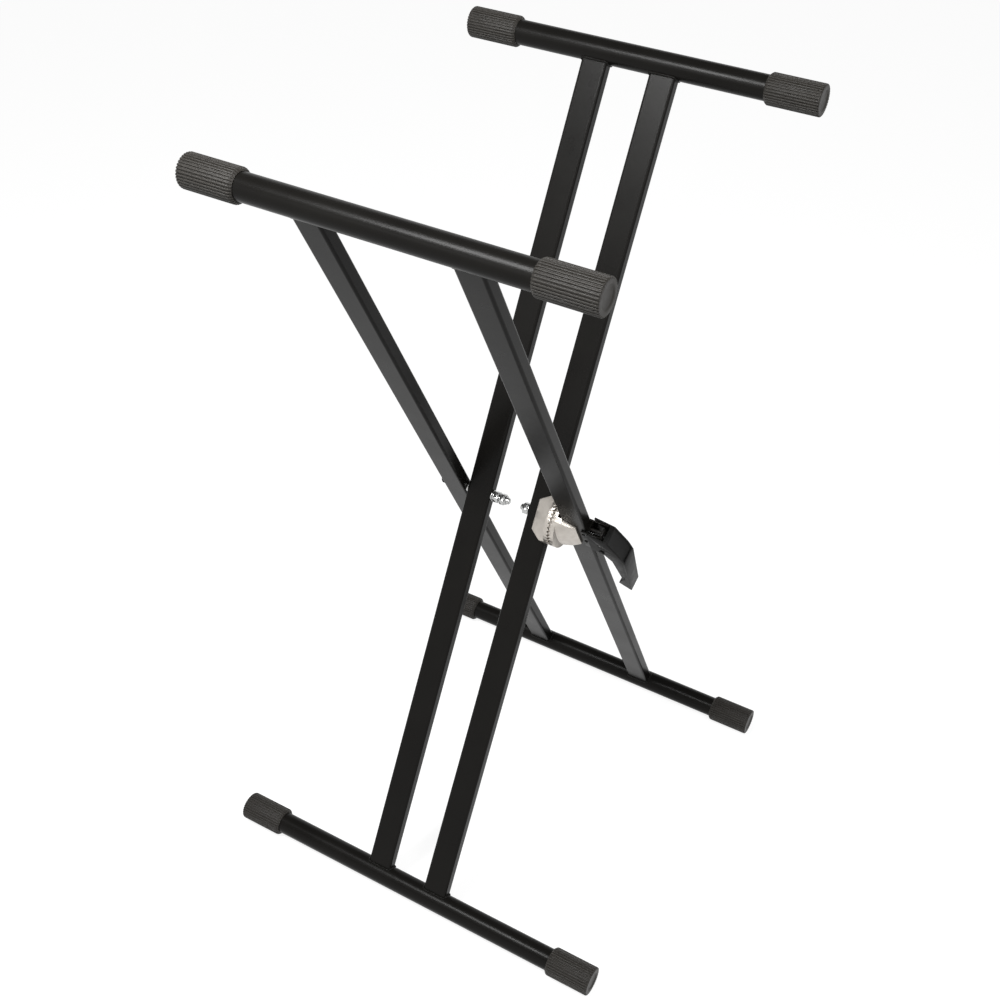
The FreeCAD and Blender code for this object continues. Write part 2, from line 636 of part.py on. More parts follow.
def clutch_half(label, hand, tip, leg_face, rim, room, end_height, bore, spigot=None):
    """One casting of the clutch: toothed drum, tapering saddle and the channel for the leg.

    hand is the way from the teeth to the leg along X, rim is where the drum ends, and room is
    how far the channel's floor stays off the leg's face.  A spigot runs to its length inside the
    teeth; without one the drum is hollow there.
    """
    body = new_body(label)
    end = f"({leg_face}) + {hand} * saddle_reach"
    disc = new_sketch(body, "Disc_" + label, "XZ_Plane")
    nose = ((spigot, "0"), (spigot, "spigot_radius"), (tip, "spigot_radius")) if spigot else (
        (tip, "0"),)
    draw_polygon(disc, nose + (
        (tip, "drum_diameter / 2"),
        (end, "drum_diameter / 2"),
        (end, "0"),
    ))
    add_revolution(body, disc, name="Blank_" + label)
    for side in (1, -1):
        taper = new_sketch(body, f"Taper{side + 1}_{label}", "XZ_Plane")
        draw_polygon(taper, (
            (rim, f"{side} * saddle_rim_height / 2"),
            (end, f"{side} * {end_height} / 2"),
            (f"({end}) + {hand} * 5", f"{side} * {end_height} / 2"),
            (f"({end}) + {hand} * 5", f"{side} * drum_diameter"),
            (rim, f"{side} * drum_diameter"),
        ))
        add_pocket(body, taper, name=f"TaperCut{side + 1}_{label}")
    cut_crowned_faces(body, label, rim, f"({end}) + {hand} * 0.5")
    channel = new_sketch(body, "Channel_" + label, "XY_Plane")
    floor, half = f"({leg_face}) - {hand} * ({room})", "leg_thickness / 2 + saddle_fit"
    draw_polygon(channel, (
        (floor, f"-({half})"),
        (f"({end}) + {hand} * 5", f"-({half})"),
        (f"({end}) + {hand} * 5", half),
        (floor, half),
    ))
    add_pocket(body, channel, name="ChannelCut_" + label)
    if not spigot:
        hollow = new_sketch(body, "Hub_" + label, "XZ_Plane")
        wide = "spigot_radius + running_gap"
        draw_polygon(hollow, ((tip, "0"), (tip, wide), ("hub_face", wide), ("hub_face", "0")))
        add_revolution(body, hollow, "PartDesign::Groove", "HubCut_" + label)
    drill = new_sketch(body, "Bore_" + label, "YZ_Plane")
    draw_circle(drill, ("0", "0"), f"2 * ({bore})")
    add_pocket(body, drill, name="BoreCut_" + label)
    return body, disc


def cut_teeth(body, label, hand, tip, axis_sketch):
    """Cut the grooves between the teeth across the drum's face."""
    groove = new_sketch(body, "Tooth_" + label, "XY_Plane", {"z": "drum_diameter / 2"})
    root = f"({tip}) + {hand} * tooth_height"
    draw_polygon(groove, (
        (f"({tip}) - {hand} * 1", "-tooth_groove_width / 2"),
        (tip, "-tooth_groove_width / 2"),
        (root, "-tooth_root_width / 2"),
        (root, "tooth_root_width / 2"),
        (tip, "tooth_groove_width / 2"),
        (f"({tip}) - {hand} * 1", "tooth_groove_width / 2"),
    ))
    cut = add_pocket(body, groove, name="ToothCut_" + label, length="2 * tooth_ring_width")
    add_ring_of(body, cut, axis_sketch, "tooth_count", name="Teeth_" + label)


def build_fixed_half():
    """The casting keyed on the inner frame's right leg."""
    label, tip = "clutch_fixed_half", "fixed_tip"
    body, axis = clutch_half(label, -1, tip, "right_far_face", "right_far_face + drum_step", "0",
                             "fixed_end_height", "hole_radius", "hub_face - running_gap")
    cut_teeth(body, label, -1, tip, axis)
    finish(body, label, INNER)


def build_sliding_half():
    """The casting that slides on the outer frame's right leg, with its spring pocket."""
    label, tip = "clutch_sliding_half", "sliding_tip"
    body, axis = clutch_half(label, 1, tip, "outer_near_face", "outer_near_face - drum_step",
                             "slide_room", "sliding_end_height", "bolt_radius + running_gap")
    pocket = new_sketch(body, "SpringPocket_" + label, "XZ_Plane")
    draw_polygon(pocket, (
        ("spring_near", "0"),
        ("spring_near", "pocket_radius"),
        ("outer_near_face", "pocket_radius"),
        ("outer_near_face", "0"),
    ))
    add_revolution(body, pocket, "PartDesign::Groove", "SpringPocketCut_" + label)
    rods = new_sketch(body, "RodHoles_" + label, "YZ_Plane")
    for side in (1, -1):
        draw_circle(rods, ("0", f"{side} * rod_offset"), "rod_diameter")
    add_pocket(body, rods, name="RodHoleCut_" + label)
    cut_teeth(body, label, 1, tip, axis)
    finish(body, label, OUTER)


def build_pull_parts():
    """The two rods and the yoke that draw the sliding half off its teeth."""
    for label, height in (("pull_rod_upper", "rod_offset"), ("pull_rod_lower", "-rod_offset")):
        body = new_body(label)
        section = new_sketch(body, "Section_" + label, "YZ_Plane", {"z": "hub_face"})
        draw_circle(section, ("0", height), "rod_diameter")
        add_pad(body, section, "yoke_far - hub_face", name="Rod_" + label)
        finish(body, label, OUTER)

    yoke = new_body("pull_yoke")
    plate = new_sketch(yoke, "Plate_pull_yoke", "YZ_Plane", {"z": "yoke_near"})
    draw_polygon(plate, (
        ("-yoke_width / 2", "-yoke_height / 2 + 2"),
        ("-yoke_width / 2 + 2", "-yoke_height / 2"),
        ("yoke_width / 2 - 2", "-yoke_height / 2"),
        ("yoke_width / 2", "-yoke_height / 2 + 2"),
        ("yoke_width / 2", "yoke_height / 2 - 2"),
        ("yoke_width / 2 - 2", "yoke_height / 2"),
        ("-yoke_width / 2 + 2", "yoke_height / 2"),
        ("-yoke_width / 2", "yoke_height / 2 - 2"),
    ))
    add_pad(yoke, plate, "yoke_thickness", name="PlatePad_pull_yoke")
    studs = new_sketch(yoke, "Studs_pull_yoke", "XZ_Plane")
    draw_circle(studs, ("yoke_middle", "0"), "trunnion_diameter")
    add_pad(yoke, studs, "2 * cheek_outside", middle=True, name="StudPad_pull_yoke")
    holes = new_sketch(yoke, "RodHoles_pull_yoke", "YZ_Plane")
    for side in (1, -1):
        draw_circle(holes, ("0", f"{side} * rod_offset"), "rod_diameter")
    draw_circle(holes, ("0", "0"), "guide_diameter + 2 * hole_clearance")
    add_pocket(yoke, holes, name="RodHoleCut_pull_yoke")
    finish(yoke, "pull_yoke", OUTER)


def build_spring():
    """Compression spring between the sliding half and the leg's bush, round wire on a helix."""
    near, far = size("spring_near"), size("spring_far")
    wire, mean = size("spring_wire"), size("spring_inside + spring_wire / 2")
    rise = far - near - wire
    helix = Part.makeHelix(rise / size("spring_turns"), rise, mean)
    section = Part.Wire([Part.makeCircle(wire / 2, FreeCAD.Vector(mean, 0, 0),
                                         FreeCAD.Vector(0, 1, 0))])
    coil = Part.Wire(helix.Edges).makePipeShell([section], True, True)
    along_pivot = FreeCAD.Placement(FreeCAD.Vector(near + wire / 2, 0, 0),
                                    FreeCAD.Rotation(FreeCAD.Vector(0, 1, 0), 90))
    feature = document.addObject("Part::Feature", "Coil_clutch_spring")
    feature.Shape = coil.transformGeometry(along_pivot.toMatrix())
    finish(feature, "clutch_spring", OUTER)


# ---------------------------------------------------------------- lever and bracket


def build_bracket():
    """Sheet bracket wrapped round the leg's outer edge, with ears for the lever's pin."""
    body = new_body("lever_bracket")
    plan = new_sketch(body, "Plan_lever_bracket", "XY_Plane", {"z": "-bracket_drop"})
    back, web = "outer_far_face - bracket_wrap", "outer_far_face + bracket_sheet"
    ear = "yoke_middle + lever_pin_diameter"
    draw_polygon(plan, (
        (back, "-bracket_outside"),
        (ear, "-bracket_outside"),
        (ear, "-bracket_inside"),
        (web, "-bracket_inside"),
        (web, "bracket_inside"),
        (ear, "bracket_inside"),
        (ear, "bracket_outside"),
        (back, "bracket_outside"),
        (back, "bracket_inside"),
        ("outer_far_face", "bracket_inside"),
        ("outer_far_face", "-bracket_inside"),
        (back, "-bracket_inside"),
    ))
    add_pad(body, plan, "bracket_height", name="Channel_lever_bracket")
    slots = new_sketch(body, "StudSlots_lever_bracket", "XZ_Plane")
    half = "trunnion_diameter / 2 + stud_slot_play"
    slot_near = f"yoke_middle - ({half})"
    draw_polygon(slots, (
        (slot_near, f"-({half})"),
        (f"{ear} + 1", f"-({half})"),
        (f"{ear} + 1", half),
        (slot_near, half),
    ))
    add_pocket(body, slots, name="StudSlotCut_lever_bracket")
    window = new_sketch(body, "Window_lever_bracket", "YZ_Plane")
    draw_polygon(window, (
        ("-bracket_inside", "-bracket_window / 2"),
        ("bracket_inside", "-bracket_window / 2"),
        ("bracket_inside", "bracket_window / 2"),
        ("-bracket_inside", "bracket_window / 2"),
    ))
    add_pocket(body, window, name="WindowCut_lever_bracket")
    drill = new_sketch(body, "PinHole_lever_bracket", "XZ_Plane")
    draw_circle(drill, ("yoke_middle", "-lever_pin_drop"), "lever_pin_diameter")
    for side in (1, -1):
        draw_circle(drill, ("rivet_place", f"{side} * rivet_spacing / 2"), "rivet_diameter")
    add_pocket(body, drill, name="PinHoleCut_lever_bracket")
    finish(body, "lever_bracket", OUTER)

    pin = new_body("lever_pin")
    shaft = new_sketch(pin, "Shaft_lever_pin", "XZ_Plane")
    centre = ("yoke_middle", "-lever_pin_drop")
    draw_circle(shaft, centre, "lever_pin_diameter")
    add_pad(pin, shaft, "2 * (cheek_outside + 1.4)", middle=True, name="ShaftPad_lever_pin")
    for side in (1, -1):
        head = new_sketch(pin, f"Head{side + 1}_lever_pin", "XZ_Plane",
                          {"z": f"{side} * (cheek_outside + 0.3 + 0.6)"})
        draw_circle(head, centre, "lever_pin_head")
        add_pad(pin, head, "1.2", middle=True, name=f"HeadPad{side + 1}_lever_pin")
    finish(pin, "lever_pin", OUTER)


def build_rivets():
    """Rivets through the bracket's flanges into the leg's front and back walls."""
    rivets = []
    stem = size("rivet_diameter") / 2
    head, rise = size("rivet_head") / 2, size("rivet_head_height")
    inner, outer = size("leg_thickness / 2 - leg_wall"), size("bracket_outside")
    x, spacing = size("rivet_place"), size("rivet_spacing")
    for z in (spacing / 2, -spacing / 2):
        for side in (1, -1):
            outward = FreeCAD.Vector(0, side, 0)
            shank = Part.makeCylinder(stem, outer - inner, FreeCAD.Vector(x, side * inner, z),
                                      outward)
            dome = Part.makeCone(head, head * 0.55, rise, FreeCAD.Vector(x, side * outer, z),
                                 outward)
            rivets.append(shank.fuse(dome).removeSplitter())
    feature = document.addObject("Part::Feature", "Rivets_bracket")
    feature.Shape = Part.makeCompound([solid for rivet in rivets for solid in rivet.Solids])
    finish(feature, "bracket_rivets", OUTER)


def build_lever():
    """Moulded squeeze lever: forked head, sunk thumb plate, hollow handle and hooked tip."""
    body = new_body("release_lever")
    face = "outer_far_face"
    outline = (
        (2.2, 19.6), (27.9, 12.8), (40.4, -15.5), (44.8, -33.5), (39.8, -118.0), (38.4, -120.6),
        (23.3, -108.4), (35.4, -86.5), (36.2, -80.8), (31.2, -82.6), (27.2, -37.0), (18.4, -22.4),
        (15.4, -21.2), (2.2, -21.2),
    )
    side_view = new_sketch(body, "Side_release_lever", "XZ_Plane")
    draw_polygon(side_view, [(f"{face} + {x}", str(z)) for x, z in outline])
    add_pad(body, side_view, "2 * cheek_outside", middle=True, name="Block_release_lever")
    for side in (1, -1):
        flank = new_sketch(body, f"Flank{side + 1}_release_lever", "YZ_Plane")
        draw_polygon(flank, (
            (f"{side} * cheek_outside", "-22"),
            (f"{side} * lever_tip_width / 2", "-122"),
            (f"{side} * (cheek_outside + 3)", "-122"),
            (f"{side} * (cheek_outside + 3)", "-22"),
        ))
        add_pocket(body, flank, name=f"FlankCut{side + 1}_release_lever")
    fork = new_sketch(body, "Fork_release_lever", "XZ_Plane")
    draw_polygon(fork, (
        (f"{face} + 1", "21"),
        ("fork_depth", "21"),
        ("fork_depth", "-23"),
        (f"{face} + 1", "-23"),
    ))
    add_pocket(body, fork, name="ForkCut_release_lever", length="2 * cheek_inside")
    floor = new_sketch(body, "Floor_release_lever", "XZ_Plane")
    draw_polygon(floor, (
        (f"{face} + 9.4", "-21.0"),
        ("fork_depth + 0.5", "-21.0"),
        ("fork_depth + 0.5", "-14.4"),
        (f"{face} + 9.4", "-14.4"),
    ))
    add_pad(body, floor, "2 * (bracket_inside - running_gap)", middle=True,
            name="FloorPad_release_lever")
    slot = new_sketch(body, "Slot_release_lever", "XZ_Plane")
    reach = "trunnion_diameter / 2 + lever_slot_play"
    draw_polygon(slot, (
        (f"yoke_middle - ({reach})", f"-({reach}) - 0.5"),
        (f"yoke_middle + ({reach})", f"-({reach}) - 0.5"),
        (f"yoke_middle + ({reach})", f"{reach} + 0.5"),
        (f"yoke_middle - ({reach})", f"{reach} + 0.5"),
    ))
    add_pocket(body, slot, name="SlotCut_release_lever")
    pin = new_sketch(body, "PinHole_release_lever", "XZ_Plane")
    draw_circle(pin, ("yoke_middle", "-lever_pin_drop"),
                "lever_pin_diameter + 2 * hole_clearance")
    add_pocket(body, pin, name="PinHoleCut_release_lever")
    hollow = new_sketch(body, "Hollow_release_lever", "XZ_Plane")
    draw_polygon(hollow, (
        (f"{face} + 26.4 - lever_wall * 0.3", "6.0"),
        (f"{face} + 40.4 - lever_wall", "-17.0"),
        (f"{face} + 44.8 - lever_wall", "-34.0"),
        (f"{face} + 42.8 - lever_wall", "-76.0"),
        (f"{face} + 29.0", "-80.0"),
        (f"{face} + 29.2", "-38.0"),
        ("fork_depth + lever_wall", "-28.0"),
        ("fork_depth + lever_wall", "2.0"),
    ))
    add_pocket(body, hollow, name="HollowCut_release_lever",
               length="lever_tip_width - 2 * lever_wall + 2")
    plate = new_sketch(body, "Plate_release_lever", "XZ_Plane")
    draw_polygon(plate, (
        (f"{face} + 28.8 - plate_recess", "10.3"),
        (f"{face} + 32", "11.7"),
        (f"{face} + 50", "-28"),
        (f"{face} + 43.2 - plate_recess", "-30.4"),
        (f"{face} + 40.2 - plate_recess", "-15.4"),
    ))
    add_pocket(body, plate, name="PlateCut_release_lever", length="2 * cheek_outside - 4.4")
    finish(body, "release_lever", OUTER)


def build_frame(name, lean, legs, rivet_holes=()):
    """One frame: two bars, four caps, two legs and the welds that join them."""
    for bar, side, length in (("top", 1, "top_bar_length"), ("foot", -1, "foot_bar_length")):
        bar_tube(f"{name}_{bar}_tube", lean, side, length)
        for end, hand in (("left", -1), ("right", 1)):
            grip_cap(f"{name}_{bar}_cap_{end}", lean, side, hand, length,
                     f"{bar}_cap_length", f"{bar}_cap_diameter")
    for end, middle, holes in legs:
        leg_tube(f"{name}_leg_{end}", lean, middle, holes, rivet_holes if end == "right" else ())
    weld_beads(f"{name}_weld_beads", lean, [size(middle) for _, middle, _ in legs])


def check_and_write():
    """Stop on any failed object or shape, then write each sub-part to its own file."""
    document.recompute()
    for item in document.Objects:
        if "Invalid" in item.State or "Error" in item.State:
            raise RuntimeError(f"{item.Label} is in state {item.State}")
    os.makedirs(PART_FOLDER, exist_ok=True)
    for piece in pieces:
        shape = piece.Shape
        if shape.isNull() or not shape.isValid() or not shape.Solids:
            raise RuntimeError(f"{piece.Label} has no valid shape")
        shape.exportStep(os.path.join(PART_FOLDER, piece.Label + ".step"))
        print(f"{piece.Label}: {len(shape.Solids)} solid(s), {shape.Volume / 1000:.2f} cm3")


def main():
    """Build the two frames, the pivots, the clutch and its lever, and write them."""
    bolt_hole = ("0", "2 * hole_radius")
    bush_hole = ("0", "bush_diameter")
    rod_hole = "rod_diameter + 2 * rod_hole_clearance"
    build_frame("inner", INNER, (("left", "-inner_left_offset", (bolt_hole,)),
                                 ("right", "inner_right_offset", (bolt_hole,))))
    build_frame("outer", OUTER, (
        ("left", "-outer_leg_offset", (bush_hole,)),
        ("right", "outer_leg_offset",
         (bush_hole, ("rod_offset", rod_hole), ("-rod_offset", rod_hole))),
    ), [("rivet_place", f"{side} * rivet_spacing / 2") for side in (1, -1)])
    build_bushes()
    build_left_pivot()
    build_right_pivot()
    build_fixed_half()
    build_sliding_half()
    build_pull_parts()
    build_spring()
    build_bracket()
    build_rivets()
    build_lever()
    check_and_write()


main()
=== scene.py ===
"""Dresses a folding keyboard stand: coated tube frames, ribbed caps, toothed clutch and lever."""

import json
import logging
import math
from dataclasses import dataclass, field
from enum import Enum
from typing import Any, Iterable

import bmesh
import bpy
from mathutils import Matrix, Vector


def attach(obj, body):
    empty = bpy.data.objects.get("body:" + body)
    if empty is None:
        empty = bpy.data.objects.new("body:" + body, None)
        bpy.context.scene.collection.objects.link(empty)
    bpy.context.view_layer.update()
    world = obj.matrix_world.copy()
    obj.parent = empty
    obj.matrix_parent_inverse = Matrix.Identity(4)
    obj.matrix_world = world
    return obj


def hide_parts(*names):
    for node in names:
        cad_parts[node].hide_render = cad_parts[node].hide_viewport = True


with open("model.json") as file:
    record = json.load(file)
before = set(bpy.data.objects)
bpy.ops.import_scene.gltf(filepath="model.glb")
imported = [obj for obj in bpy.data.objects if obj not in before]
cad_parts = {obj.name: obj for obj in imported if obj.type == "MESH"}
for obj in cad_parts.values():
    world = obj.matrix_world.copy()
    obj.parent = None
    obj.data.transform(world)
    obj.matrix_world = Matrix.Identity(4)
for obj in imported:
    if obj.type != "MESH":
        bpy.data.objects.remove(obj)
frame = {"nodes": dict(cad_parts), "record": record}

LOG = logging.getLogger("stand")
MM = 0.001
LEAN_DEG = 28.19
INNER_LEG_MIDDLES = (-51.5, 34.5)
OUTER_LEG_MIDDLES = (-86.5, 86.5)
# A wave texture draws this many bands in the length that a scale of one gives.
WAVE_BANDS = 6.3


# ------------------------------------------------------------------ small helpers


def linear(hex_colour: str) -> tuple[float, float, float, float]:
    """Turn an sRGB hex colour into the linear colour that a shader takes.

    Args:
        hex_colour: Six hex digits after a hash.

    Returns:
        Red, green and blue in linear light, and an alpha of one.
    """
    parts = [int(hex_colour[i:i + 2], 16) / 255 for i in (1, 3, 5)]
    light = [c / 12.92 if c <= 0.04045 else ((c + 0.055) / 1.055) ** 2.4 for c in parts]
    return light[0], light[1], light[2], 1.0


def add_node(tree: bpy.types.NodeTree, kind: str, inputs: dict[Any, Any] | None = None,
             **settings: Any) -> bpy.types.Node:
    """Add a node to a tree, with its settings and its links.

    Args:
        tree: The shader or geometry tree.
        kind: Blender's name for the kind of node.
        inputs: Socket name or number to a value, or to the output socket that feeds it.
        **settings: The node's own properties.

    Returns:
        The new node.
    """
    node = tree.nodes.new(kind)
    for name, value in settings.items():
        setattr(node, name, value)
    for name, value in (inputs or {}).items():
        socket = node.inputs[name]
        if isinstance(value, bpy.types.NodeSocket):
            tree.links.new(value, socket)
        else:
            socket.default_value = value
    return node


def scale_for(size_mm: float) -> float:
    """The texture scale that gives features of this size in millimetres."""
    return 1.0 / (size_mm * MM)


def mesh_object(name: str, mesh: bpy.types.Mesh) -> bpy.types.Object:
    """Put a mesh into the scene as an object at the origin.

    Args:
        name: The object's name.
        mesh: Its mesh, already in the row frame.

    Returns:
        The new object.
    """
    thing = bpy.data.objects.new(name, mesh)
    bpy.context.scene.collection.objects.link(thing)
    return thing


def baked(thing: bpy.types.Object, smooth_deg: float) -> bpy.types.Object:
    """Turn an object's modifiers into plain mesh, smooth below an angle.

    Args:
        thing: The object with its modifiers set.
        smooth_deg: Edges sharper than this stay sharp.

    Returns:
        The same object with its new mesh and no modifiers.
    """
    bpy.context.view_layer.update()
    evaluated = thing.evaluated_get(bpy.context.evaluated_depsgraph_get())
    mesh = bpy.data.meshes.new_from_object(evaluated)
    thing.modifiers.clear()
    thing.data = mesh
    mesh.shade_smooth()
    mesh.set_sharp_from_angle(angle=math.radians(smooth_deg))
    return thing


# ------------------------------------------------------------------ finishes


class Grain(Enum):
    """How a surface's fine relief was made."""

    PEEL = "sprayed powder that flowed in the oven"
    CAST = "die-cast skin, tumbled"
    SPARK = "spark-eroded mould texture"
    TURNED = "turned on a lathe, then plated"


@dataclass(frozen=True)
class Finish:
    """One real surface: its colours, its gloss and its relief.

    Attributes:
        name: What the material is, which names it in Blender.
        slot: The record's slot that it belongs to. Not used.
        colour: Main colour, sRGB.
        tint: Colour of the broad patches that break it up, sRGB.
        patch_mm: Size of those patches.
        grain: How the relief was made.
        grain_mm: Size of the relief's features.
        height_mm: Depth of the relief.
        gloss: Lowest and highest roughness.
        metallic: One for bare or plated metal.
        specular: Strength of the clear reflection on a coated or plastic surface.
    """

    name: str
    slot: str
    colour: str
    tint: str
    patch_mm: float
    grain: Grain
    grain_mm: float
    height_mm: float
    gloss: tuple[float, float]
    metallic: float = 0.0
    specular: float = 0.5

    def relief(self, tree: bpy.types.NodeTree, place: bpy.types.NodeSocket
               ) -> bpy.types.NodeSocket:
        """Build the height pattern of the surface.

        Args:
            tree: The material's tree.
            place: Object coordinates.

        Returns:
            The socket that carries the height.
        """
        scale = scale_for(self.grain_mm)
        if self.grain is Grain.TURNED:
            wave = add_node(tree, "ShaderNodeTexWave",
                            {"Vector": place, "Scale": scale / WAVE_BANDS, "Distortion": 1.2,
                             "Detail": 2.0},
                            wave_type="BANDS", bands_direction="X")
            return wave.outputs["Fac"]
        if self.grain is Grain.SPARK:
            cells = add_node(tree, "ShaderNodeTexVoronoi", {"Vector": place, "Scale": scale},
                             feature="SMOOTH_F1")
            return cells.outputs["Distance"]
        detail = 2.0 if self.grain is Grain.PEEL else 6.0
        noise = add_node(tree, "ShaderNodeTexNoise",
                         {"Vector": place, "Scale": scale, "Detail": detail})
        return noise.outputs["Fac"]

    def build(self) -> bpy.types.Material:
        """Make the material from the finish.

        Returns:
            The material, ready to go into a slot.
        """
        material = bpy.data.materials.new(self.name)
        material.use_nodes = True
        tree = material.node_tree
        tree.nodes.clear()
        place = add_node(tree, "ShaderNodeTexCoord").outputs["Object"]
        patches = add_node(tree, "ShaderNodeTexNoise",
                           {"Vector": place, "Scale": scale_for(self.patch_mm), "Detail": 4.0,
                            "Roughness": 0.6})
        colour = add_node(tree, "ShaderNodeMix",
                          {"Factor": patches.outputs["Fac"], "A": linear(self.colour),
                           "B": linear(self.tint)},
                          data_type="RGBA")
        roughness = add_node(tree, "ShaderNodeMapRange",
                             {"Value": patches.outputs["Fac"], "From Min": 0.3,
                              "From Max": 0.7, "To Min": self.gloss[0],
                              "To Max": self.gloss[1]})
        bump = add_node(tree, "ShaderNodeBump",
                        {"Strength": 1.0, "Distance": self.height_mm * MM,
                         "Height": self.relief(tree, place)})
        shader = add_node(tree, "ShaderNodeBsdfPrincipled",
                          {"Base Color": colour.outputs["Result"],
                           "Roughness": roughness.outputs["Result"],
                           "Metallic": self.metallic,
                           "Specular IOR Level": self.specular,
                           "Normal": bump.outputs["Normal"]})
        add_node(tree, "ShaderNodeOutputMaterial", {"Surface": shader.outputs["BSDF"]})
        return material


# Epoxy powder coat on steel tube: deep black with a low satin sheen and a faint orange peel.
POWDER_COAT = Finish("black_satin_powder_coat", "coated_steel", "#100f0e", "#171614", 60.0,
                     Grain.PEEL, 1.3, 0.02, (0.26, 0.33), specular=0.09)
# Moulded rubber: matte near-black, greyer where hands and dust have dulled the ribs.
CAP_RUBBER = Finish("moulded_black_rubber", "rubber_caps", "#23211e", "#302d29", 9.0,
                    Grain.SPARK, 0.6, 0.006, (0.42, 0.54), specular=0.3)
# Bright zinc plate over turned steel: mirror-like with fine lathe rings.
ZINC_PLATE = Finish("bright_zinc_plated_steel", "plated_steel", "#c4c4c0", "#a3a5a8", 3.0,
                    Grain.TURNED, 0.4, 0.004, (0.12, 0.2), metallic=1.0)
# Blackened steel: dark brown-black oxide under oil, hardly any colour of its own.
BLACK_OXIDE = Finish("oiled_black_oxide_steel", "plated_steel", "#1b1a19", "#2a2826", 4.0,
                     Grain.TURNED, 0.5, 0.004, (0.3, 0.42), specular=0.3)
# Die-cast zinc alloy with a satin nickel wash: pale, soft reflections and a faint sandy skin.
SATIN_CASTING = Finish("satin_nickel_zinc_casting", "cast_metal", "#cbc5bd", "#b3ada6", 7.0,
                       Grain.CAST, 0.7, 0.012, (0.32, 0.44), metallic=0.95)
# Glass-filled nylon from a spark-textured mould: black with a dry, finely pitted sheen.
MOULDED_NYLON = Finish("black_glass_filled_nylon", "black_plastic", "#131313", "#1b1b1a", 14.0,
                       Grain.SPARK, 0.5, 0.012, (0.38, 0.5), specular=0.08)
# Bare spring wire: darker than the plated parts, drawn and oil-tempered.
SPRING_WIRE = Finish("oil_tempered_spring_wire", "spring_steel", "#8f8d88", "#6f6d69", 2.0,
                     Grain.TURNED, 0.5, 0.004, (0.25, 0.36), metallic=1.0)


@dataclass
class Palette:
    """The finishes of the stand, each built once."""

    built: dict[str, bpy.types.Material] = field(default_factory=dict)

    def get(self, finish: Finish) -> bpy.types.Material:
        """Find a finish's material, or build it on its first use.

        Args:
            finish: The finish.

        Returns:
            Its material.
        """
        if finish.name not in self.built:
            self.built[finish.name] = finish.build()
        return self.built[finish.name]

    def coat(self, finish: Finish, things: Iterable[bpy.types.Object]) -> None:
        """Give objects a finish all over.

        Args:
            finish: What they are made of.
            things: The objects.
        """
        for thing in things:
            thing.data.materials.clear()
            thing.data.materials.append(self.get(finish))
            for face in thing.data.polygons:
                face.material_index = 0
            LOG.info("%s: %s", thing.name, finish.name)


# ------------------------------------------------------------------ where things are


@dataclass(frozen=True)
class Lean:
    """One frame's place: turned about the pivot line and lifted to its height.

    Attributes:
        angle_deg: Turn about X; positive leans the top towards the player.
        height: Height of the pivot line in metres.
    """

    angle_deg: float
    height: float

    @property
    def matrix(self) -> Matrix:
        """From a frame drawn upright about its pivot to the row frame."""
        turn = Matrix.Rotation(math.radians(self.angle_deg), 4, "X")
        return Matrix.Translation((0.0, 0.0, self.height)) @ turn

    def settle(self, thing: bpy.types.Object) -> bpy.types.Object:
        """Move an object's mesh to its place and leave the object at the origin."""
        thing.data.transform(self.matrix)
        return thing


@dataclass
class CadCopies:
    """Copies of CAD pieces with their edges softened as tooling leaves them.

    Attributes:
        palette: The finishes.
        merge_mm: Points nearer than this become one.
        flat_deg: Faces that turn by less than this become one.
        sharper_deg: Edges that turn by more than this are rounded.
        smooth_deg: Edges that turn by less than this are shaded smooth.
    """

    palette: Palette
    merge_mm: float = 0.002
    flat_deg: float = 0.5
    sharper_deg: float = 25.0
    smooth_deg: float = 32.0

    def soften(self, node: str, body: str, finish: Finish, edge_mm: float) -> None:
        """Replace a CAD piece by a copy with rounded edges.

        Args:
            node: The CAD piece.
            body: The body that it rides on.
            finish: What it is made of.
            edge_mm: Width of the rounding.
        """
        mesh = frame["nodes"][node].data.copy()
        shape = bmesh.new()
        shape.from_mesh(mesh)
        bmesh.ops.remove_doubles(shape, verts=shape.verts, dist=self.merge_mm * MM)
        bmesh.ops.dissolve_limit(shape, angle_limit=math.radians(self.flat_deg),
                                 verts=shape.verts, edges=shape.edges)
        shape.to_mesh(mesh)
        shape.free()
        piece = mesh_object("dressed_" + node, mesh)
        bevel = piece.modifiers.new("edge", "BEVEL")
        bevel.width = edge_mm * MM
        bevel.segments = 2
        bevel.limit_method = "ANGLE"
        bevel.angle_limit = math.radians(self.sharper_deg)
        bevel.miter_outer = "MITER_ARC"
        baked(piece, self.smooth_deg)
        self.palette.coat(finish, [piece])
        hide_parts(node)
        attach(piece, body)


# ------------------------------------------------------------------ ribbed caps


